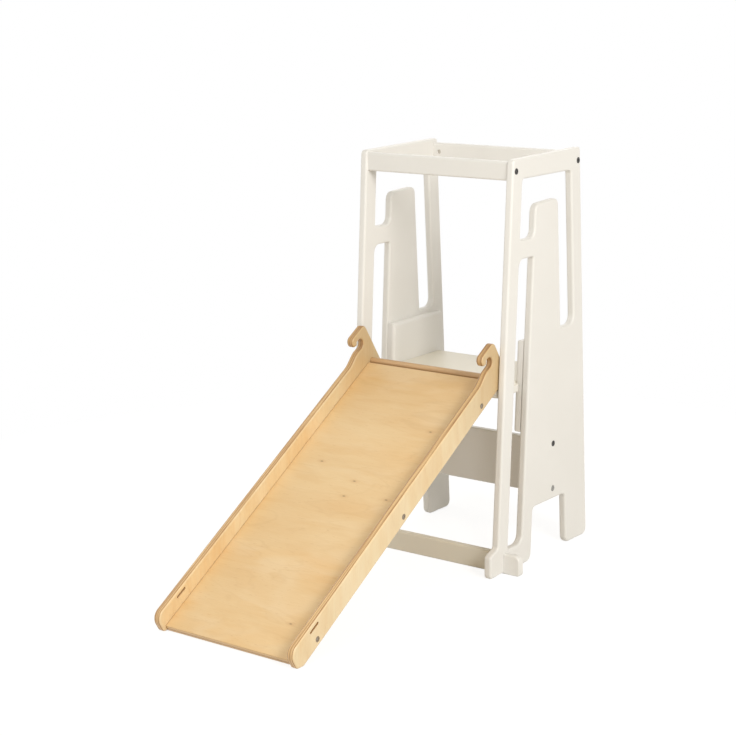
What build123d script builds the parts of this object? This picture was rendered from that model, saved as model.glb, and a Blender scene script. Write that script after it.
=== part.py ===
from build123d import *
import os
from math import cos, radians, sin, tan

# Learning tower with a lift-off slide.
# X runs across the tower, Y to its rear and Z up. The origin is on the floor,
# in the middle of the front floor rail's underside. Lengths are in millimetres.

# Overrun of every cut past the face it opens
overrun = 1.0

# Side panels, outlined by their leaning front and rear edges
tower_height = 900.0
tower_width = 400.0
panel_thickness = 18.0
panel_edge_radius = 5.0
front_edge_at_floor = -32.5
front_edge_at_top = 24.0
rear_edge_at_floor = 346.0
rear_edge_at_top = 296.0
post_width = 40.0
slot_width = 56.0
top_edge_fall = 4.0
panel_front_corner_radius = 9.0
panel_rear_corner_radius = 6.0
inner_corner_radius = 4.0

# Openings in each side panel
top_strip_height = 48.0
top_opening_radius = 9.0
tongue_front_drop = 58.5
tongue_back_drop = 54.5
tongue_front_radius = 18.0
tongue_back_radius = 14.0
bridge_drop = 70.5
bridge_height = 41.5
bridge_corner_radius = 18.0
front_slot_bottom = 50.5
front_slot_top_radius = 20.0
front_slot_bottom_radius = 20.0
rear_slot_bottom = 507.5
rear_slot_radius = 20.0

# Feet of each side panel, with an arch between them
arch_height = 120.0
arch_radius = 11.0
front_leg_width = 136.5
front_leg_radius = 18.0
rear_foot_width = 91.5
rear_foot_front_radius = 15.0
rear_foot_back_radius = 15.0
toe_reach = 26.5
toe_height = 50.0
toe_step_height = 62.0
toe_radius = 8.0
toe_step_radius = 10.0
front_recess_start = 26.0
front_recess_length = 82.0
front_recess_depth = 3.5
rear_recess_start = 36.0
rear_recess_length = 14.0
rear_recess_depth = 2.2

# Top rails between the side panels
top_rail_thickness = 18.0
top_rail_height = 40.0
top_rail_drop = 9.0
front_rail_setback = 4.0
rear_rail_setback = 1.5
top_rail_edge_radius = 4.0

# Front floor rail, halved over both side panels
floor_rail_thickness = 18.0
floor_rail_height = 45.0
floor_rail_overhang = 40.0
floor_rail_top_radius = 15.0
floor_rail_bottom_radius = 6.0
floor_rail_edge_radius = 3.0
halving_clearance = 0.2

# Low cross panel
low_panel_thickness = 18.0
low_panel_height = 125.5
low_panel_gap = 39.5
low_panel_front = 185.0
low_panel_edge_radius = 4.0
low_panel_low_bolt_inset = 13.5
low_panel_high_bolt_inset = 8.0

# Platform board and the cheeks that carry it
platform_height = 405.0
platform_thickness = 18.0
platform_front_inset = 4.0
platform_depth = 274.0
platform_ear_depth = 89.5
platform_ear_clearance = 1.0
platform_ear_radius = 12.0
platform_root_radius = 2.0
platform_edge_radius = 4.0
cheek_thickness = 18.0
cheek_rise = 92.0
cheek_drop = 109.0
cheek_front_setback = 1.5
cheek_rear_setback = 27.0
cheek_corner_radius = 10.0
cheek_edge_radius = 8.0

# Joint bolts with barrel nuts
bolt_radius = 3.0
bolt_hole_clearance = 0.5
bolt_head_radius = 6.5
bolt_head_height = 3.0
bolt_head_edge_radius = 0.8
bolt_socket_radius = 2.5
bolt_socket_depth = 2.0
bolt_seat_depth = 2.5
bolt_seat_clearance = 0.4
bolt_tip_reach = 8.0
bolt_end_clearance = 2.0
nut_radius = 5.0
nut_length = 12.0
nut_inset = 16.0
nut_clearance = 0.1
thread_clearance = 0.1

# Wooden dowels
dowel_radius = 4.0
dowel_length = 32.0
dowel_seat_depth = 10.0
dowel_chamfer = 1.0
dowel_clearance = 0.1
dowel_end_clearance = 0.5
top_rail_dowel_drop = 12.0
platform_dowel_setback = 68.5
platform_dowel_spacing = 88.0
platform_dowel_count = 2

# Countersunk screws, one size for the cheeks and one for the slide
cheek_screw_radius = 2.0
cheek_screw_length = 30.0
cheek_screw_head_radius = 4.0
cheek_screw_drop = 48.0
cheek_screw_setback = 58.5
cheek_screw_spacing = 60.0
cheek_screw_count = 3
slide_screw_radius = 2.5
slide_screw_length = 45.0
slide_screw_head_radius = 6.0
slide_screw_low_place = 57.5
slide_screw_top_drop = 63.0
slide_screw_count = 3
slide_screw_raise = 14.0
screw_clearance = 0.1
screw_end_clearance = 0.5
screw_head_inset = 0.3
screw_sink_angle = 90.0
screw_socket_share = 0.45
screw_socket_depth = 1.2

# Slide, laid out along its underside and square to it
slide_angle = 31.2
slide_side_clearance = 2.0
slide_rail_thickness = 17.0
slide_rail_depth = 51.8
slide_edge_radius = 4.5
slide_low_reach = 17.0
slide_low_radius = 23.0
slide_toe_radius = 10.0
slide_heel_radius = 10.0
slide_board_thickness = 15.0
slide_board_raise = 4.5
slide_board_low_reach = 8.0
slide_board_top_reach = 9.0
slide_board_low_radius = 2.0
slide_board_top_radius = 2.0
crossbar_radius = 7.5
crossbar_place = 21.2
crossbar_raise = 13.5
crossbar_seat_depth = 8.0
crossbar_clearance = 0.1
strap_slot_length = 30.0
strap_slot_width = 5.0
strap_slot_place = 62.5
strap_slot_drop = 10.3

# Seat of the slide on the platform, with a tooth in a notch of the board
seat_length = 59.0
seat_corner_radius = 6.0
tooth_setback = 16.0
tooth_width = 22.0
tooth_corner_radius = 5.0
tooth_root_radius = 0.8
tooth_clearance = 1.0

# Hook at the top of each slide rail. Each corner is a place along the hook, a height
# above the rail's top edge and a radius. The places are shares of the hook's length,
# and the heights and radii are shares of its height.
hook_length = 90.2
hook_height = 49.4
hook_neck_place = 45.0
hook_corner_shares = (
    (0.000, 0.000, 1.217),
    (0.364, 0.207, 0.502),
    (0.710, 0.201, 0.231),
    (0.710, 0.659, 0.226),
    (0.516, 0.665, 0.041),
    (0.488, 0.508, 0.107),
    (0.344, 0.590, 0.138),
    (0.344, 1.000, 0.251),
    (1.000, 1.000, 0.251),
)

# Places worked out from the sizes above
outer_face = tower_width / 2
inner_face = outer_face - panel_thickness
cheek_face = inner_face - cheek_thickness
ear_face = inner_face - platform_ear_clearance
slide_outer_face = inner_face - slide_side_clearance
slide_inner_face = slide_outer_face - slide_rail_thickness
top_opening_top = tower_height - top_strip_height
tongue_front_top = top_opening_top - tongue_front_drop
tongue_back_top = top_opening_top - tongue_back_drop
bridge_top = tongue_front_top - bridge_drop
front_slot_top = bridge_top - bridge_height
top_rail_middle = tower_height - top_rail_drop - top_rail_height / 2
platform_underside = platform_height - platform_thickness
cheek_top = platform_height + cheek_rise
cheek_bottom = platform_height - cheek_drop
low_panel_bottom = cheek_bottom - low_panel_gap - low_panel_height
low_panel_middle = low_panel_front + low_panel_thickness / 2
slope = radians(slide_angle)


def leaning(at_floor, at_top, height):
    """Y of a straight leaning edge at a height."""
    return at_floor + (at_top - at_floor) * height / tower_height


def front_edge(height):
    """Y of the side panel's front edge."""
    return leaning(front_edge_at_floor, front_edge_at_top, height)


def rear_edge(height):
    """Y of the side panel's rear edge."""
    return leaning(rear_edge_at_floor, rear_edge_at_top, height)


def front_post_back(height):
    """Y where the front post ends and the front slot starts."""
    return front_edge(height) + post_width


def tongue_front(height):
    """Y where the front slot ends and the tongue starts."""
    return front_post_back(height) + slot_width


def rear_post_front(height):
    """Y where the rear slot ends and the rear post starts."""
    return rear_edge(height) - post_width


def tongue_back(height):
    """Y where the tongue ends and the rear slot starts."""
    return rear_post_front(height) - slot_width


def cheek_front(height):
    """Y of the platform cheek's front edge."""
    return tongue_front(height) + cheek_front_setback


def cheek_back(height):
    """Y of the platform cheek's rear edge."""
    return rear_edge(height) - cheek_rear_setback


platform_front = front_edge(platform_height) + platform_front_inset
ear_back = platform_front + platform_ear_depth
tooth_front = platform_front + tooth_setback
tooth_back = tooth_front + tooth_width
front_rail_middle = front_edge(top_rail_middle) + front_rail_setback + top_rail_thickness / 2
rear_rail_middle = rear_edge(top_rail_middle) - rear_rail_setback - top_rail_thickness / 2
slide_foot = platform_front - platform_height / tan(slope)
slide_run = platform_height / sin(slope)
hook_start = slide_run - hook_neck_place


def on_slope(along, above):
    """Y and Z of a place along the slide's underside and square above it."""
    y = slide_foot + along * cos(slope) - above * sin(slope)
    z = along * sin(slope) + above * cos(slope)
    return y, z


def outward(x, places, sides=(-1, 1)):
    """Planes square to X at both sides of the tower, facing away from its middle."""
    return [
        Plane(origin=(side * x, y, z), x_dir=(0, 1, 0), z_dir=(side, 0, 0))
        for side in sides
        for y, z in places
    ]


def inward(x, places, sides=(-1, 1)):
    """Planes square to X at both sides of the tower, facing its middle."""
    return [
        Plane(origin=(side * x, y, z), x_dir=(0, 1, 0), z_dir=(-side, 0, 0))
        for side in sides
        for y, z in places
    ]


def across(y, heights, facing):
    """Planes square to Y where the barrel nuts lie, facing front at -1 or rear at 1."""
    return [
        Plane(origin=(side * (inner_face - nut_inset), y, z), x_dir=(1, 0, 0), z_dir=(0, facing, 0))
        for side in (-1, 1)
        for z in heights
    ]


def row(start, spacing, count, height):
    """Places in a level row, as y and z."""
    return [(start + spacing * i, height) for i in range(count)]


# Places of the fasteners, as y and z
low_panel_bolt_heights = [
    low_panel_bottom + low_panel_low_bolt_inset,
    low_panel_bottom + low_panel_height - low_panel_high_bolt_inset,
]
low_panel_bolt_places = [(low_panel_middle, z) for z in low_panel_bolt_heights]
top_rail_middles = [front_rail_middle, rear_rail_middle]
bolt_places = [(y, top_rail_middle) for y in top_rail_middles] + low_panel_bolt_places
top_rail_dowel_height = top_rail_middle - top_rail_dowel_drop
rail_dowel_places = [(y, top_rail_dowel_height) for y in top_rail_middles]
cheek_screw_height = platform_underside - cheek_screw_drop
cheek_screw_places = row(
    cheek_front(cheek_screw_height) + cheek_screw_setback,
    cheek_screw_spacing,
    cheek_screw_count,
    cheek_screw_height,
)
platform_middle = platform_height - platform_thickness / 2
platform_dowel_places = row(
    cheek_front(platform_middle) + platform_dowel_setback,
    platform_dowel_spacing,
    platform_dowel_count,
    platform_middle,
)
slide_screw_top_place = slide_run - slide_screw_top_drop
slide_screw_spacing = (slide_screw_top_place - slide_screw_low_place) / (slide_screw_count - 1)
slide_screw_places = [
    on_slope(slide_screw_low_place + slide_screw_spacing * i, slide_screw_raise)
    for i in range(slide_screw_count)
]
crossbar_places = [on_slope(slide_run + crossbar_place, crossbar_raise)]

# Outlines, each corner as two places and a radius
panel_outline = [
    (front_edge(tower_height), tower_height - top_edge_fall, panel_front_corner_radius),
    (rear_edge(tower_height), tower_height, panel_rear_corner_radius),
    (rear_edge(0), 0, rear_foot_back_radius),
    (rear_edge(0) - rear_foot_width, 0, rear_foot_front_radius),
    (rear_edge(arch_height) - rear_foot_width, arch_height, arch_radius),
    (front_edge(arch_height) + front_leg_width, arch_height, arch_radius),
    (front_edge(0) + front_leg_width, 0, front_leg_radius),
    (front_edge(0) - toe_reach, 0, toe_radius),
    (front_edge(0) - toe_reach, toe_height, toe_radius),
    (front_edge(toe_step_height), toe_step_height, toe_step_radius),
]
top_opening = [
    (front_post_back(top_opening_top), top_opening_top, top_opening_radius),
    (rear_post_front(top_opening_top), top_opening_top, top_opening_radius),
    (rear_post_front(rear_slot_bottom), rear_slot_bottom, rear_slot_radius),
    (tongue_back(rear_slot_bottom), rear_slot_bottom, inner_corner_radius),
    (tongue_back(tongue_back_top), tongue_back_top, tongue_back_radius),
    (tongue_front(tongue_front_top), tongue_front_top, tongue_front_radius),
    (tongue_front(bridge_top), bridge_top, bridge_corner_radius),
    (front_post_back(bridge_top), bridge_top, inner_corner_radius),
]
front_slot = [
    (front_post_back(front_slot_top), front_slot_top, front_slot_top_radius),
    (tongue_front(front_slot_top), front_slot_top, inner_corner_radius),
    (tongue_front(front_slot_bottom), front_slot_bottom, front_slot_bottom_radius),
    (front_post_back(front_slot_bottom), front_slot_bottom, inner_corner_radius),
]
cheek_outline = [
    (cheek_front(cheek_top), cheek_top, 0),
    (cheek_back(cheek_top), cheek_top, cheek_corner_radius),
    (cheek_back(cheek_bottom), cheek_bottom, cheek_corner_radius),
    (cheek_front(cheek_bottom), cheek_bottom, 0),
]
platform_outline = [
    (-ear_face, platform_front, platform_ear_radius),
    (ear_face, platform_front, platform_ear_radius),
    (ear_face, ear_back, platform_ear_radius),
    (cheek_face, ear_back, platform_root_radius),
    (cheek_face, platform_front + platform_depth, 0),
    (-cheek_face, platform_front + platform_depth, 0),
    (-cheek_face, ear_back, platform_root_radius),
    (-ear_face, ear_back, platform_ear_radius),
]
halving_middle = outer_face - panel_thickness / 2
halving_places = [(side * halving_middle, floor_rail_height) for side in (-1, 1)]
notch_start = slide_inner_face - tooth_clearance
notch_width = ear_face + overrun - notch_start
notch_places = [
    (side * (notch_start + notch_width / 2), (tooth_front + tooth_back) / 2) for side in (-1, 1)
]
floor_rail_end = outer_face + floor_rail_overhang
floor_rail_outline = [
    (-floor_rail_end, 0, floor_rail_bottom_radius),
    (floor_rail_end, 0, floor_rail_bottom_radius),
    (floor_rail_end, floor_rail_height, floor_rail_top_radius),
    (-floor_rail_end, floor_rail_height, floor_rail_top_radius),
]
slide_board_top = slide_board_raise + slide_board_thickness
slide_board_outline = [
    (*on_slope(-slide_board_low_reach, slide_board_raise), slide_board_low_radius),
    (*on_slope(slide_run + slide_board_top_reach, slide_board_raise), slide_board_top_radius),
    (*on_slope(slide_run + slide_board_top_reach, slide_board_top), slide_board_top_radius),
    (*on_slope(-slide_board_low_reach, slide_board_top), slide_board_low_radius),
]
hook_outline = [
    (
        *on_slope(
            hook_start + hook_length * along,
            slide_rail_depth + hook_height * above,
        ),
        hook_height * corner,
    )
    for along, above, corner in hook_corner_shares
]
slide_low_end = on_slope(-slide_low_reach, slide_rail_depth)
slide_toe = slide_foot - slide_low_reach / cos(slope)
slide_rail_outline = [
    (slide_foot, 0, slide_heel_radius),
    (slide_toe, 0, slide_toe_radius),
    (*slide_low_end, slide_low_radius),
    *hook_outline,
    (platform_front + seat_length, platform_height, seat_corner_radius),
    (tooth_back, platform_height, tooth_root_radius),
    (tooth_back, platform_underside, tooth_corner_radius),
    (tooth_front, platform_underside, tooth_corner_radius),
    (tooth_front, platform_height, tooth_root_radius),
    (platform_front, platform_height, 0),
]


def outline(corners, mode=Mode.ADD):
    """Face with rounded corners in the open sketch."""
    places = [(first, second) for first, second, radius in corners]
    corner_radii = [radius for first, second, radius in corners]
    with BuildLine() as border:
        FilletPolyline(*places, radius=corner_radii, close=True)
    make_face(border.edges(), mode=mode)


def bolt_and_nut_bores(middle, heights, thickness, nut_side):
    """Bores for bolts in both ends of a board and for barrel nuts in one of its faces."""
    with Locations(*outward(inner_face, [(middle, z) for z in heights])):
        Hole(bolt_radius + bolt_hole_clearance, nut_inset + bolt_tip_reach + bolt_end_clearance)
    with Locations(*across(middle + nut_side * thickness / 2, heights, nut_side)):
        Hole(nut_radius + nut_clearance, (thickness + nut_length) / 2)


def top_rail(middle, nut_side):
    """Top rail with the bores for its bolts, nuts and dowels."""
    with BuildPart() as rail:
        with BuildSketch(Plane.YZ.offset(-inner_face)):
            with Locations((middle, top_rail_middle)):
                Rectangle(top_rail_thickness, top_rail_height)
        extrude(amount=2 * inner_face)
        fillet(edges().filter_by(Axis.X), top_rail_edge_radius)
        bolt_and_nut_bores(middle, [top_rail_middle], top_rail_thickness, nut_side)
        with Locations(*outward(inner_face, [(middle, top_rail_dowel_height)])):
            Hole(
                dowel_radius + dowel_clearance,
                dowel_length - dowel_seat_depth + dowel_end_clearance,
            )
    return rail.part


def bolt_group(places):
    """Bolts through both side panels, with their heads seated in the outer faces."""
    seats = outward(outer_face - bolt_seat_depth, places)
    with BuildPart() as group:
        with Locations(*seats):
            Cylinder(
                bolt_head_radius,
                bolt_head_height,
                align=(Align.CENTER, Align.CENTER, Align.MIN),
            )
        fillet(edges().filter_by(GeomType.CIRCLE), bolt_head_edge_radius)
        with Locations(*seats):
            Cylinder(
                bolt_radius,
                panel_thickness - bolt_seat_depth + nut_inset + bolt_tip_reach,
                align=(Align.CENTER, Align.CENTER, Align.MAX),
            )
        with BuildSketch(*[seat.offset(bolt_head_height) for seat in seats]):
            RegularPolygon(bolt_socket_radius, 6)
        extrude(amount=-bolt_socket_depth, mode=Mode.SUBTRACT)
    return group.part


def nut_group(middle, heights):
    """Barrel nuts across both ends of a rail, each with its cross hole."""
    with BuildPart() as group:
        with Locations(*across(middle, heights, 1)):
            Cylinder(nut_radius, nut_length)
        with Locations(*outward(inner_face, [(middle, z) for z in heights])):
            Hole(bolt_radius + thread_clearance)
    return group.part


def dowel_group(face, places):
    """Dowels that cross the joint faces on both sides of the tower."""
    with BuildPart() as group:
        with Locations(*inward(face + dowel_seat_depth, places)):
            Cylinder(
                dowel_radius,
                dowel_length,
                align=(Align.CENTER, Align.CENTER, Align.MIN),
            )
        chamfer(edges().filter_by(GeomType.CIRCLE), dowel_chamfer)
    return group.part


def screw_group(faces, radius, head_radius, length):
    """Countersunk screws with their heads just below the given faces."""
    seats = [face.offset(-screw_head_inset) for face in faces]
    with BuildPart() as group:
        with Locations(*seats):
            Cylinder(
                radius,
                length,
                align=(Align.CENTER, Align.CENTER, Align.MAX),
            )
            Cone(
                radius,
                head_radius,
                head_radius - radius,
                align=(Align.CENTER, Align.CENTER, Align.MAX),
            )
        with BuildSketch(*seats):
            RegularPolygon(head_radius * screw_socket_share, 6)
        extrude(amount=-screw_socket_depth, mode=Mode.SUBTRACT)
    return group.part


# Side panels: outline, openings, rounded edges, then the halving, foot recesses and bores
with BuildPart() as right_side_panel:
    with BuildSketch(Plane.YZ.offset(inner_face)):
        outline(panel_outline)
        outline(top_opening, Mode.SUBTRACT)
        outline(front_slot, Mode.SUBTRACT)
    extrude(amount=panel_thickness)
    fillet(faces().filter_by(Axis.X).edges(), panel_edge_radius)
    with BuildSketch(Plane.YZ.offset(inner_face - overrun)):
        Rectangle(
            floor_rail_thickness + 2 * halving_clearance,
            floor_rail_height + 2 * halving_clearance,
        )
        with Locations((front_edge(0) - toe_reach + front_recess_start, 0)):
            Rectangle(
                front_recess_length,
                2 * front_recess_depth,
                align=(Align.MIN, Align.CENTER),
            )
        with Locations((rear_edge(0) - rear_foot_width + rear_recess_start, 0)):
            Rectangle(
                rear_recess_length,
                2 * rear_recess_depth,
                align=(Align.MIN, Align.CENTER),
            )
    extrude(amount=panel_thickness + 2 * overrun, mode=Mode.SUBTRACT)
    with Locations(*outward(outer_face, bolt_places, sides=(1,))):
        CounterBoreHole(
            bolt_radius + bolt_hole_clearance,
            bolt_head_radius + bolt_seat_clearance,
            bolt_seat_depth,
        )
    with Locations(*inward(inner_face, rail_dowel_places, sides=(1,))):
        Hole(dowel_radius + dowel_clearance, dowel_seat_depth + dowel_end_clearance)
    with Locations(*inward(inner_face, cheek_screw_places, sides=(1,))):
        Hole(
            cheek_screw_radius + screw_clearance,
            cheek_screw_length + screw_head_inset - cheek_thickness + screw_end_clearance,
        )

with BuildPart() as left_side_panel:
    mirror(right_side_panel.part, about=Plane.YZ)

# Front floor rail, cut from above to cross the side panels at half its height
with BuildPart() as front_floor_rail:
    with BuildSketch(Plane.XZ.offset(-floor_rail_thickness / 2)):
        outline(floor_rail_outline)
    extrude(amount=floor_rail_thickness)
    fillet(faces().filter_by(Axis.Y).edges(), floor_rail_edge_radius)
    with BuildSketch(Plane.XZ.offset(-floor_rail_thickness / 2 - overrun)):
        with Locations(*halving_places):
            Rectangle(panel_thickness + 2 * halving_clearance, floor_rail_height)
    extrude(amount=floor_rail_thickness + 2 * overrun, mode=Mode.SUBTRACT)

# Low cross panel, with its nuts let in from the rear
with BuildPart() as low_cross_panel:
    with BuildSketch(Plane.YZ.offset(-inner_face)):
        with Locations((low_panel_middle, low_panel_bottom + low_panel_height / 2)):
            Rectangle(low_panel_thickness, low_panel_height)
    extrude(amount=2 * inner_face)
    fillet(edges().filter_by(Axis.X), low_panel_edge_radius)
    bolt_and_nut_bores(low_panel_middle, low_panel_bolt_heights, low_panel_thickness, 1)

# Platform board: narrow between the cheeks, with wider ears in front of them
with BuildPart() as platform_board:
    with BuildSketch(Plane.XY.offset(platform_underside)):
        outline(platform_outline)
    extrude(amount=platform_thickness)
    cheek_contact = faces().filter_by(Axis.X).group_by(SortBy.AREA)[-1].edges()
    fillet(faces().filter_by(Axis.Z).edges() - cheek_contact, platform_edge_radius)
    with BuildSketch(Plane.XY.offset(platform_underside - overrun)):
        with Locations(*notch_places):
            Rectangle(notch_width, tooth_width + 2 * tooth_clearance)
    extrude(amount=platform_thickness + 2 * overrun, mode=Mode.SUBTRACT)
    with Locations(*outward(cheek_face, platform_dowel_places)):
        Hole(
            dowel_radius + dowel_clearance,
            dowel_length - dowel_seat_depth + dowel_end_clearance,
        )

# Platform cheeks, rounded on the inner side and screwed to the side panels from there
with BuildPart() as right_platform_cheek:
    with BuildSketch(Plane.YZ.offset(cheek_face)):
        outline(cheek_outline)
    extrude(amount=cheek_thickness)
    fillet(faces().sort_by(Axis.X)[0].edges(), cheek_edge_radius)
    with Locations(*inward(cheek_face, cheek_screw_places, sides=(1,))):
        CounterSinkHole(
            cheek_screw_radius + screw_clearance,
            cheek_screw_head_radius + screw_head_inset + screw_clearance,
            counter_sink_angle=screw_sink_angle,
        )
    with Locations(*inward(cheek_face, platform_dowel_places, sides=(1,))):
        Hole(dowel_radius + dowel_clearance, dowel_seat_depth + dowel_end_clearance)

with BuildPart() as left_platform_cheek:
    mirror(right_platform_cheek.part, about=Plane.YZ)

# Slide rails: hooked outline, rounded edges, strap slot and bores
with BuildPart() as right_slide_rail:
    with BuildSketch(Plane.YZ.offset(slide_inner_face)):
        outline(slide_rail_outline)
    extrude(amount=slide_rail_thickness)
    fillet(faces().filter_by(Axis.X).edges(), slide_edge_radius)
    with BuildSketch(Plane.YZ.offset(slide_inner_face - overrun)):
        with Locations(on_slope(strap_slot_place, slide_rail_depth - strap_slot_drop)):
            SlotOverall(strap_slot_length, strap_slot_width, rotation=slide_angle)
    extrude(amount=slide_rail_thickness + 2 * overrun, mode=Mode.SUBTRACT)
    with Locations(*outward(slide_outer_face, slide_screw_places, sides=(1,))):
        CounterSinkHole(
            slide_screw_radius + screw_clearance,
            slide_screw_head_radius + screw_head_inset + screw_clearance,
            counter_sink_angle=screw_sink_angle,
        )
    with Locations(*inward(slide_inner_face, crossbar_places, sides=(1,))):
        Hole(crossbar_radius + crossbar_clearance, crossbar_seat_depth + crossbar_clearance)

with BuildPart() as left_slide_rail:
    mirror(right_slide_rail.part, about=Plane.YZ)

# Slide board, screwed between the rails
with BuildPart() as slide_board:
    with BuildSketch(Plane.YZ.offset(-slide_inner_face)):
        outline(slide_board_outline)
    extrude(amount=2 * slide_inner_face)
    with Locations(*outward(slide_inner_face, slide_screw_places)):
        Hole(
            slide_screw_radius + screw_clearance,
            slide_screw_length + screw_head_inset - slide_rail_thickness + screw_end_clearance,
        )

# Crossbar, let into the inner faces of both slide rails
with BuildPart() as slide_crossbar:
    with BuildSketch(Plane.YZ.offset(-slide_inner_face - crossbar_seat_depth)):
        with Locations(*crossbar_places):
            Circle(crossbar_radius)
    extrude(amount=2 * (slide_inner_face + crossbar_seat_depth))

pieces = {
    "left_side_panel": left_side_panel.part,
    "right_side_panel": right_side_panel.part,
    "front_top_rail": top_rail(front_rail_middle, 1),
    "rear_top_rail": top_rail(rear_rail_middle, -1),
    "front_floor_rail": front_floor_rail.part,
    "low_cross_panel": low_cross_panel.part,
    "platform_board": platform_board.part,
    "left_platform_cheek": left_platform_cheek.part,
    "right_platform_cheek": right_platform_cheek.part,
    "front_top_rail_bolts": bolt_group([(front_rail_middle, top_rail_middle)]),
    "rear_top_rail_bolts": bolt_group([(rear_rail_middle, top_rail_middle)]),
    "low_panel_bolts": bolt_group(low_panel_bolt_places),
    "front_top_rail_nuts": nut_group(front_rail_middle, [top_rail_middle]),
    "rear_top_rail_nuts": nut_group(rear_rail_middle, [top_rail_middle]),
    "low_panel_nuts": nut_group(low_panel_middle, low_panel_bolt_heights),
    "top_rail_dowels": dowel_group(inner_face, rail_dowel_places),
    "platform_dowels": dowel_group(cheek_face, platform_dowel_places),
    "cheek_screws": screw_group(
        inward(cheek_face, cheek_screw_places),
        cheek_screw_radius,
        cheek_screw_head_radius,
        cheek_screw_length,
    ),
    "slide_board": slide_board.part,
    "left_slide_rail": left_slide_rail.part,
    "right_slide_rail": right_slide_rail.part,
    "slide_crossbar": slide_crossbar.part,
    "left_slide_screws": screw_group(
        outward(slide_outer_face, slide_screw_places, sides=(-1,)),
        slide_screw_radius,
        slide_screw_head_radius,
        slide_screw_length,
    ),
    "right_slide_screws": screw_group(
        outward(slide_outer_face, slide_screw_places, sides=(1,)),
        slide_screw_radius,
        slide_screw_head_radius,
        slide_screw_length,
    ),
}

os.makedirs("parts", exist_ok=True)
for name, piece in pieces.items():
    piece.label = name
    export_step(piece, f"parts/{name}.step")
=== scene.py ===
import math

import bpy
from mathutils import Matrix, Vector


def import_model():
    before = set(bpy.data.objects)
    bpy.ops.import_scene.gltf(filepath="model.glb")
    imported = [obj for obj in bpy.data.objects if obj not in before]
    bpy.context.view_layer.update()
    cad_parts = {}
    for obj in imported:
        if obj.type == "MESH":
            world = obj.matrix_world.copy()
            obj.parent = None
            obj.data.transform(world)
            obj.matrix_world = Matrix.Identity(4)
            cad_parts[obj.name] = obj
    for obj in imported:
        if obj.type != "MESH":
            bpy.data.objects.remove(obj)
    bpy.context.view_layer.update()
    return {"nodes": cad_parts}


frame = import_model()
nodes = frame["nodes"]

# The slide's slope, and places in metres as in the CAD. Those across are measured from the
# tower's middle.
SLOPE = math.radians(31.2)
RAIL_MIDDLE = 0.1715  # across, the middle of a slide rail's thickness
GLUE_LINE = 0.0052  # a slide rail's outer glue lines, from that middle
PLY_PAIR = 0.0028  # thickness of two layers of veneer
BOARD_JOINT = 0.163  # across, where the slide board meets the slide rails
KNOTS = (  # pin knots in the slide board, across and up the slope
    (-0.092, -0.090),
    (0.018, -0.126),
    (0.019, -0.170),
    (0.110, 0.043),
    (0.106, -0.503),
    (0.120, -0.158),
)
TOP_SHADE_FROM, TOP_SHADE_TO = 0.0, 0.24  # up the slope, where painted shade makes the wood darker and more golden
INSIDE = 0.182  # across, the inner faces of the side panels
BOLT_SOCKET = 0.1985  # across, the floors of the bolts' sockets
SCREW_SOCKET = 0.1785  # across, the floors of the slide screws' sockets
GREYED_BELOW = 0.20  # height between the low panel's two rows of bolts

# Lamps: name, place, size, power and colour. All of them look at the middle of the object.
MIDDLE = (0.0, -0.15, 0.45)
LAMPS = (
    ("key_light", (3.2, -1.3, 2.2), 1.4, 86.0, (1.0, 0.99, 0.97)),
    ("front_light", (-0.4, -3.4, 2.4), 2.2, 35.5, (0.97, 0.99, 1.0)),
    ("back_light", (-1.2, 3.0, 2.8), 2.4, 26.0, (1.0, 0.98, 0.95)),
    ("left_light", (-3.4, 0.4, 1.5), 2.0, 22.0, (1.0, 0.99, 0.97)),
)


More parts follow.
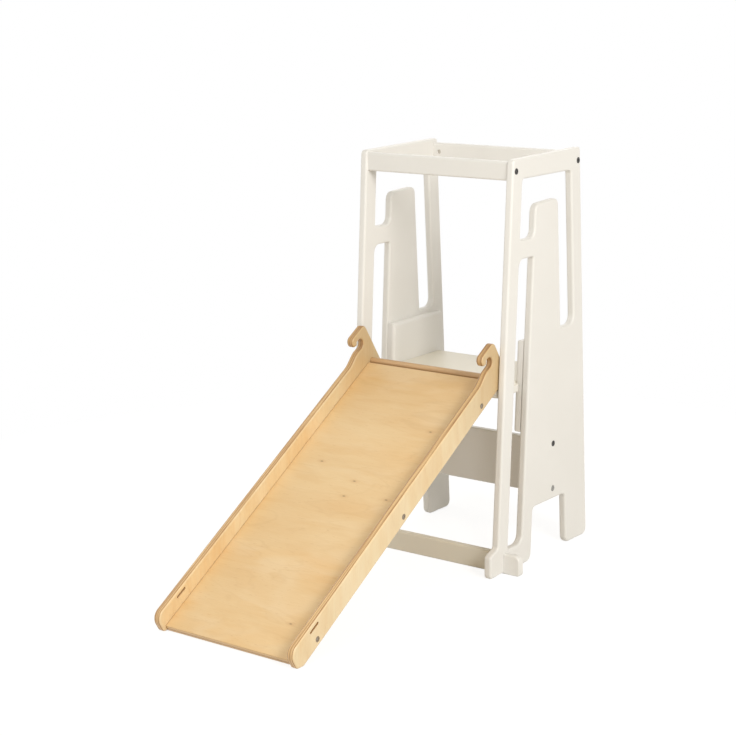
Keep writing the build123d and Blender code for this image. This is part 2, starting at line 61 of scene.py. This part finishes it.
class Graph:
    """A material's nodes, added one at a time and linked by name."""

    def __init__(self, name):
        self.material = bpy.data.materials.new(name)
        self.material.use_nodes = True
        self.tree = self.material.node_tree
        self.tree.nodes.clear()

    def add(self, kind, links=None, **settings):
        """A node. Names of its own settings are set on it, and links holds its inputs."""
        node = self.tree.nodes.new(kind)
        for key, value in settings.items():
            setattr(node, key, value)
        for key, value in (links or {}).items():
            if isinstance(value, bpy.types.NodeSocket):
                self.tree.links.new(value, node.inputs[key])
            else:
                node.inputs[key].default_value = value
        return node

    def math(self, operation, a, b=None):
        links = {0: a} if b is None else {0: a, 1: b}
        return self.add("ShaderNodeMath", links, operation=operation).outputs[0]

    def apart(self, a, b):
        """How far two values are from each other."""
        return self.math("ABSOLUTE", self.math("SUBTRACT", a, b))

    def split(self, vector):
        return self.add("ShaderNodeSeparateXYZ", {0: vector}).outputs

    def length(self, vector):
        return self.add("ShaderNodeVectorMath", {0: vector}, operation="LENGTH").outputs["Value"]

    def mix(self, factor, a, b, blend="MIX"):
        node = self.add("ShaderNodeMix", data_type="RGBA", blend_type=blend)
        for place, value in ((0, factor), (6, a), (7, b)):
            if isinstance(value, bpy.types.NodeSocket):
                self.tree.links.new(value, node.inputs[place])
            else:
                node.inputs[place].default_value = value
        return node.outputs[2]

    def span(self, value, low, high, out_low=0.0, out_high=1.0):
        """A value stretched from one span to another, and held at its ends."""
        return self.add(
            "ShaderNodeMapRange",
            {0: value, 1: low, 2: high, 3: out_low, 4: out_high},
        ).outputs[0]

    def lay(self, colour, value, low, high, most, over, blend="MIX"):
        """A colour with another laid over it, from none at low to its most at high."""
        return self.mix(self.span(value, low, high, 0.0, most), colour, over, blend)

    def noise(self, vector, scale, detail, roughness=0.5, distortion=0.0):
        return self.add(
            "ShaderNodeTexNoise",
            {
                "Vector": vector,
                "Scale": scale,
                "Detail": detail,
                "Roughness": roughness,
                "Distortion": distortion,
            },
        ).outputs["Fac"]

    def scaled(self, vector, scale=(1.0, 1.0, 1.0), turn=(0.0, 0.0, 0.0), offset=(0.0, 0.0, 0.0)):
        return self.add(
            "ShaderNodeMapping",
            {"Vector": vector, "Scale": scale, "Rotation": turn, "Location": offset},
        ).outputs[0]

    def grain(self, vector, along, across, detail, roughness=0.5, distortion=0.0, **mapping):
        """Noise with one scale along X and another across it."""
        stretched = self.scaled(vector, (along, across, across), **mapping)
        return self.noise(stretched, 1.0, detail, roughness, distortion)

    def bump(self, height, strength, distance):
        return self.add(
            "ShaderNodeBump",
            {"Height": height, "Strength": strength, "Distance": distance},
        ).outputs[0]

    def finish(self, shader):
        """The material itself, with this shader on its surface."""
        self.add("ShaderNodeOutputMaterial", {"Surface": shader})
        return self.material

    def principled(self, inputs):
        """The material itself, from the inputs of one principled shader."""
        return self.finish(self.add("ShaderNodeBsdfPrincipled", inputs).outputs[0])


def rgb(r, g, b):
    return (r, g, b, 1.0)


def along_slope(g, parts):
    """How far up the slope, from a split vector."""
    return g.math(
        "ADD",
        g.math("MULTIPLY", parts[1], math.cos(SLOPE)),
        g.math("MULTIPLY", parts[2], math.sin(SLOPE)),
    )


def off_slope(g, parts):
    """How far out at right angles to the slope, from a split vector."""
    return g.math(
        "SUBTRACT",
        g.math("MULTIPLY", parts[2], math.cos(SLOPE)),
        g.math("MULTIPLY", parts[1], math.sin(SLOPE)),
    )


def painted_white(name, bounce_tint_within=None):
    """Satin cream paint over board, with a faint roller texture.

    bounce_tint_within is half the width of the part of a board that gets a painted warm tint, for
    light bounced from the wooden slide and the floor.
    """
    g = Graph(name)
    place = g.add("ShaderNodeTexCoord").outputs["Object"]
    cloud = g.noise(place, 7.0, 3.0)
    speck = g.noise(place, 900.0, 2.0)
    roller = g.noise(place, 260.0, 3.0, 0.6)
    colour = g.mix(g.span(cloud, 0.3, 0.7), rgb(0.800, 0.784, 0.752), rgb(0.825, 0.811, 0.782))
    if bounce_tint_within is not None:
        # Painted light: a warm tint inside the side panels, for light bounced from the wooden
        # slide and the floor
        across = g.math("ABSOLUTE", g.split(place)[0])
        warm_bounce = g.span(across, bounce_tint_within - 0.004, bounce_tint_within, 1.0, 0.0)
        colour = g.mix(warm_bounce, colour, rgb(0.98, 0.945, 0.84), "MULTIPLY")
    colour = g.lay(colour, speck, 0.25, 0.75, 0.10, rgb(0.70, 0.66, 0.58))
    return g.principled({
        "Base Color": colour,
        "Roughness": g.span(roller, 0.3, 0.7, 0.36, 0.48),
        "Normal": g.bump(roller, 0.12, 0.0004),
    })


def birch(name, turn, edges, pale, warm, top_shade, joint=None, knots=()):
    """Clear varnished birch plywood. The veneer's grain runs along the turned X axis.

    edges is "x" for a board whose faces look along X and "slope" for one that lies on the slope.
    top_shade is how far painted shade makes the wood darker and more golden towards the slide's
    top end.
    joint is half the width between two joints, each with a thin dark line of painted shade and
    dirt.
    Each knot is a place along X and one up the slope.
    """
    g = Graph(name)
    coords = g.add("ShaderNodeTexCoord").outputs
    place = g.scaled(coords["Object"], turn=turn)
    normal = g.split(coords["Normal"])
    spot = g.split(coords["Object"])
    along = along_slope(g, spot)

    # Veneer: broad tones and patches, cathedral lines, fibres and short flecks
    tone = g.grain(place, 1.6, 5.0, 2.0, 0.5, 0.4)
    broad = g.grain(place, 2.2, 9.0, 3.0, 0.55, 0.6)
    flame = g.grain(place, 7.0, 25.0, 2.0, 0.5, 0.7, offset=(1.0, 4.0, 2.0))
    bleached = g.grain(place, 6.0, 15.0, 2.0, 0.5, 0.4, offset=(3.0, 1.0, 2.0))
    figure = g.grain(place, 5.0, 42.0, 4.0, 0.6, 1.0)
    fibre = g.grain(place, 26.0, 900.0, 3.0, 0.6)
    fleck = g.grain(place, 70.0, 420.0, 1.0)
    rings = g.math("FRACT", g.math("MULTIPLY", broad, 8.0))
    line = g.span(g.apart(rings, 0.5), 0.0, 0.14, 1.0, 0.0)
    faint = g.span(g.noise(place, 9.0, 2.0), 0.35, 0.65, 0.02, 0.17)
    colour = g.mix(g.span(broad, 0.32, 0.68), pale, warm)
    colour = g.lay(colour, tone, 0.50, 0.68, 0.34, rgb(0.80, 0.45, 0.14))
    colour = g.lay(colour, flame, 0.47, 0.64, 0.30, rgb(0.73, 0.46, 0.19))
    colour = g.lay(colour, bleached, 0.48, 0.66, 0.32, rgb(0.88, 0.73, 0.50))
    colour = g.lay(colour, figure, 0.35, 0.75, 0.5, pale)
    colour = g.mix(g.math("MULTIPLY", line, faint), colour, rgb(0.56, 0.33, 0.13))
    colour = g.lay(colour, fibre, 0.35, 0.75, 0.20, rgb(0.62, 0.41, 0.19))
    colour = g.lay(colour, fleck, 0.66, 0.78, 0.22, rgb(0.52, 0.27, 0.11))

    # Pin knots, each a dark point in a darker streak along the grain
    for across, up in knots:
        from_knot = g.length(g.add(
            "ShaderNodeCombineXYZ",
            {
                0: g.math("MULTIPLY", g.math("SUBTRACT", spot[0], across), 0.45),
                1: g.math("SUBTRACT", along, up),
            },
        ).outputs[0])
        streak = g.span(from_knot, 0.0012, 0.0070, 0.28, 0.0)
        point = g.span(from_knot, 0.0006, 0.0022, 0.62, 0.0)
        colour = g.mix(streak, colour, rgb(0.52, 0.26, 0.10))
        colour = g.mix(point, colour, rgb(0.17, 0.075, 0.03))

    # Edges: layers of veneer, every other one showing its end grain
    if edges == "x":
        facing = g.math("ABSOLUTE", normal[0])
        through = spot[0]
    else:
        facing = g.math("ABSOLUTE", off_slope(g, normal))
        through = off_slope(g, spot)
    layer = g.math("FRACT", g.math("MULTIPLY", through, 1.0 / PLY_PAIR))
    stripe = g.span(g.apart(layer, 0.5), 0.20, 0.30, 0.1, 0.9)
    pores = g.noise(coords["Object"], 520.0, 2.0)
    sheet = g.add(
        "ShaderNodeCombineXYZ",
        {0: g.math("MULTIPLY", through, 260.0), 1: g.math("MULTIPLY", along, 5.0)},
    ).outputs[0]
    uneven = g.noise(sheet, 1.0, 1.0)
    layered = g.mix(stripe, rgb(0.92, 0.655, 0.335), rgb(0.66, 0.415, 0.180))
    layered = g.lay(layered, uneven, 0.44, 0.60, 0.72, rgb(0.42, 0.215, 0.080))
    layered = g.lay(layered, pores, 0.4, 0.7, 0.25, rgb(0.42, 0.24, 0.10))
    if edges == "x":
        off_middle = g.apart(g.math("ABSOLUTE", spot[0]), RAIL_MIDDLE)
        off_glue = g.apart(off_middle, GLUE_LINE)
        patchy = g.span(g.grain(coords["Object"], 1.0, 30.0, 2.0), 0.3, 0.6, 0.35, 0.85)
        glued = g.math("MULTIPLY", g.span(off_glue, 0.0005, 0.0013, 1.0, 0.0), patchy)
        layered = g.mix(glued, layered, rgb(0.34, 0.165, 0.060))
    colour = g.mix(g.span(facing, 0.45, 0.80, 1.0, 0.0), colour, layered)

    # Painted shade and dirt in the joints with the rails, then painted shade towards the slide's
    # top end
    if joint is not None:
        # Painted shade and dirt: a thin dark line on the board along each joint with a rail
        across = g.math("ABSOLUTE", spot[0])
        dark = rgb(0.30, 0.16, 0.06)
        colour = g.lay(colour, across, joint - 0.0024, joint - 0.0004, 0.62, dark)
    # Painted shade: darker and more golden up the slope towards the slide's top end
    top_shade_tint = rgb(0.74, 0.68, 0.59)
    colour = g.lay(colour, along, TOP_SHADE_FROM, TOP_SHADE_TO, top_shade, top_shade_tint, "MULTIPLY")

    height = g.math("ADD", g.math("MULTIPLY", fibre, 0.6), g.math("MULTIPLY", figure, 0.4))
    return g.principled({
        "Base Color": colour,
        "Roughness": g.span(fibre, 0.3, 0.7, 0.38, 0.50),
        "Normal": g.bump(height, 0.10, 0.0003),
        "Coat Weight": 0.25,
        "Coat Roughness": 0.28,
    })


def round_bar():
    """Varnished beech, with its grain and short pores along X."""
    g = Graph("beech_bar")
    place = g.add("ShaderNodeTexCoord").outputs["Object"]
    grain = g.grain(place, 6.0, 160.0, 3.0, 0.6, 0.4)
    fleck = g.grain(place, 120.0, 1400.0, 1.0)
    colour = g.mix(g.span(grain, 0.3, 0.7), rgb(0.62, 0.410, 0.215), rgb(0.50, 0.305, 0.145))
    colour = g.lay(colour, fleck, 0.62, 0.74, 0.5, rgb(0.38, 0.20, 0.08))
    return g.principled({
        "Base Color": colour,
        "Roughness": 0.42,
        "Normal": g.bump(grain, 0.10, 0.0003),
        "Coat Weight": 0.2,
        "Coat Roughness": 0.3,
    })


def metal(name, colour, rough, metallic, scratch, socket=None, greyed_below=None):
    """Metal with fine scratches in its roughness and greyer clouds in its colour.

    scratch is how far the clouds show. socket is how far the socket floors lie from the tower's
    middle, and they are shown paler, as a painted highlight. greyed_below is a height under which
    the finish is greyer.
    """
    g = Graph(name)
    coords = g.add("ShaderNodeTexCoord").outputs
    spot = g.split(coords["Object"])
    fine = g.noise(coords["Object"], 1500.0, 2.0)
    cloud = g.noise(coords["Object"], 220.0, 2.0)
    colour = g.lay(colour, cloud, 0.3, 0.7, scratch, rgb(0.45, 0.43, 0.40))
    if socket is not None:
        # Painted highlight: the socket floors, which face out along X, are shown paler than the
        # dark head
        level = g.span(g.math("ABSOLUTE", g.split(coords["Normal"])[0]), 0.8, 0.95)
        across = g.math("ABSOLUTE", spot[0])
        socket_highlight = g.span(across, socket + 0.0002, socket + 0.0008, 0.85, 0.0)
        colour = g.mix(g.math("MULTIPLY", socket_highlight, level), colour, rgb(0.55, 0.52, 0.47))
    if greyed_below is not None:
        # Below that height the finish is greyer
        greyed = g.span(spot[2], greyed_below - 0.01, greyed_below + 0.01, 0.75, 0.0)
        colour = g.mix(greyed, colour, rgb(0.42, 0.41, 0.38))
    return g.principled({
        "Base Color": colour,
        "Metallic": metallic,
        "Roughness": g.span(fine, 0.3, 0.7, rough - 0.08, rough + 0.08),
        "Normal": g.bump(fine, 0.15, 0.0002),
    })


white = painted_white("painted_white")
bounce_tinted_white = painted_white("painted_white_warm_bounce", INSIDE)
slide_face = birch(
    "birch_slide_board",
    (0.0, 0.0, 0.0),
    "slope",
    pale=rgb(0.820, 0.605, 0.330),
    warm=rgb(0.755, 0.500, 0.235),
    top_shade=0.40,
    joint=BOARD_JOINT,
    knots=KNOTS,
)
rail_face = birch(
    "birch_slide_rail",
    (0.0, math.radians(90.0), 0.0),
    "x",
    pale=rgb(0.840, 0.700, 0.450),
    warm=rgb(0.765, 0.565, 0.315),
    top_shade=1.0,
)
beech = round_bar()
black = rgb(0.035, 0.033, 0.032)
dark_steel = metal("dark_steel", black, 0.38, 0.6, 0.12, BOLT_SOCKET)
low_steel = metal("dark_steel_low", black, 0.38, 0.6, 0.12, BOLT_SOCKET, GREYED_BELOW)
zinc = metal("zinc_steel", rgb(0.62, 0.58, 0.52), 0.34, 1.0, 0.25)
burnished = metal("burnished_steel", rgb(0.27, 0.205, 0.135), 0.40, 0.7, 0.2, SCREW_SOCKET)

materials = {
    "left_side_panel": white,
    "right_side_panel": white,
    "front_top_rail": white,
    "rear_top_rail": white,
    "front_floor_rail": bounce_tinted_white,
    "low_cross_panel": white,
    "platform_board": bounce_tinted_white,
    "left_platform_cheek": white,
    "right_platform_cheek": white,
    "front_top_rail_bolts": dark_steel,
    "rear_top_rail_bolts": dark_steel,
    "low_panel_bolts": low_steel,
    "front_top_rail_nuts": zinc,
    "rear_top_rail_nuts": zinc,
    "low_panel_nuts": zinc,
    "top_rail_dowels": beech,
    "platform_dowels": beech,
    "cheek_screws": zinc,
    "slide_board": slide_face,
    "left_slide_rail": rail_face,
    "right_slide_rail": rail_face,
    "slide_crossbar": beech,
    "left_slide_screws": burnished,
    "right_slide_screws": burnished,
}
for name, material in materials.items():
    mesh = nodes[name].data
    mesh.materials.clear()
    mesh.materials.append(material)


def floor():
    """Plain pale floor that shows white to the camera and keeps the object's soft shadow.

    Near the object its glow leaves a little of the shadow, and further away it is plain white.
    To other light it is a matt floor.
    """
    reach = 14.0
    below = 0.0004
    near_ends, far_starts = 0.8, 1.6
    mesh = bpy.data.meshes.new("floor")
    mesh.from_pydata(
        [(-reach, -reach, 0), (reach, -reach, 0), (reach, reach, 0), (-reach, reach, 0)],
        [],
        [(0, 1, 2, 3)],
    )
    plane = bpy.data.objects.new("floor", mesh)
    plane.location.z = -below
    bpy.context.scene.collection.objects.link(plane)
    g = Graph("floor")
    rays = g.add("ShaderNodeLightPath").outputs
    seen = g.math("MAXIMUM", rays["Is Camera Ray"], rays["Is Glossy Ray"])
    matt = g.add("ShaderNodeBsdfDiffuse", {"Color": rgb(0.78, 0.77, 0.75)}).outputs[0]
    low = g.add("ShaderNodeBsdfDiffuse", {"Color": rgb(0.26, 0.26, 0.26)}).outputs[0]
    glow = g.add("ShaderNodeEmission", {"Color": rgb(1.0, 1.0, 1.0), "Strength": 0.84}).outputs[0]
    near = g.add("ShaderNodeAddShader", {0: low, 1: glow}).outputs[0]
    far = g.add("ShaderNodeEmission", {"Color": rgb(1.0, 1.0, 1.0), "Strength": 1.0}).outputs[0]
    distance = g.length(g.add("ShaderNodeTexCoord").outputs["Object"])
    away = g.span(distance, near_ends, far_starts)
    pale = g.add("ShaderNodeMixShader", {0: away, 1: near, 2: far}).outputs[0]
    shown = g.add("ShaderNodeMixShader", {0: seen, 1: matt, 2: pale}).outputs[0]
    mesh.materials.append(g.finish(shown))


def world():
    """Even warm room light, and plain white where the camera looks past the floor."""
    sky = bpy.data.worlds.new("studio")
    bpy.context.scene.world = sky
    sky.use_nodes = True
    tree = sky.node_tree
    tree.nodes.clear()
    path = tree.nodes.new("ShaderNodeLightPath")
    seen = tree.nodes.new("ShaderNodeMath")
    seen.operation = "MAXIMUM"
    soft = tree.nodes.new("ShaderNodeBackground")
    soft.inputs["Color"].default_value = rgb(1.0, 0.93, 0.80)
    soft.inputs["Strength"].default_value = 0.46
    plain = tree.nodes.new("ShaderNodeBackground")
    plain.inputs["Color"].default_value = rgb(1.0, 1.0, 1.0)
    plain.inputs["Strength"].default_value = 1.0
    mixed = tree.nodes.new("ShaderNodeMixShader")
    out = tree.nodes.new("ShaderNodeOutputWorld")
    tree.links.new(path.outputs["Is Camera Ray"], seen.inputs[0])
    tree.links.new(path.outputs["Is Glossy Ray"], seen.inputs[1])
    tree.links.new(seen.outputs[0], mixed.inputs[0])
    tree.links.new(soft.outputs[0], mixed.inputs[1])
    tree.links.new(plain.outputs[0], mixed.inputs[2])
    tree.links.new(mixed.outputs[0], out.inputs["Surface"])


def lamp(name, place, size, power, colour):
    """Square softbox that looks at the middle of the object."""
    light = bpy.data.lights.new(name, "AREA")
    light.size = size
    light.energy = power
    light.color = colour
    box = bpy.data.objects.new(name, light)
    box.location = place
    box.rotation_euler = (Vector(MIDDLE) - Vector(place)).to_track_quat("-Z", "Y").to_euler()
    bpy.context.scene.collection.objects.link(box)


def camera(place, azimuth, down, roll, focal_pixels, image_pixels):
    """Camera at the photograph's viewing angle. The angles are in radians."""
    level = Vector((math.cos(azimuth), math.sin(azimuth), 0.0))
    ahead = Vector((
        -math.sin(azimuth) * math.cos(down),
        math.cos(azimuth) * math.cos(down),
        -math.sin(down),
    ))
    above = level.cross(ahead)
    right = level * math.cos(roll) + above * math.sin(roll)
    up = above * math.cos(roll) - level * math.sin(roll)
    data = bpy.data.cameras.new("camera")
    data.sensor_width = 36.0
    data.lens = focal_pixels / image_pixels * data.sensor_width
    eye = bpy.data.objects.new("camera", data)
    axes = Matrix((right, up, -ahead)).transposed().to_4x4()
    eye.matrix_world = Matrix.Translation(Vector(place)) @ axes
    bpy.context.scene.collection.objects.link(eye)
    bpy.context.scene.camera = eye


floor()
world()
for entry in LAMPS:
    lamp(*entry)
camera(
    place=(2.24102, -3.18279, 1.31115),
    azimuth=0.648006,
    down=0.221826,
    roll=-0.01233,
    focal_pixels=1821.48,
    image_pixels=736,
)
bpy.context.scene.view_settings.view_transform = "Standard"
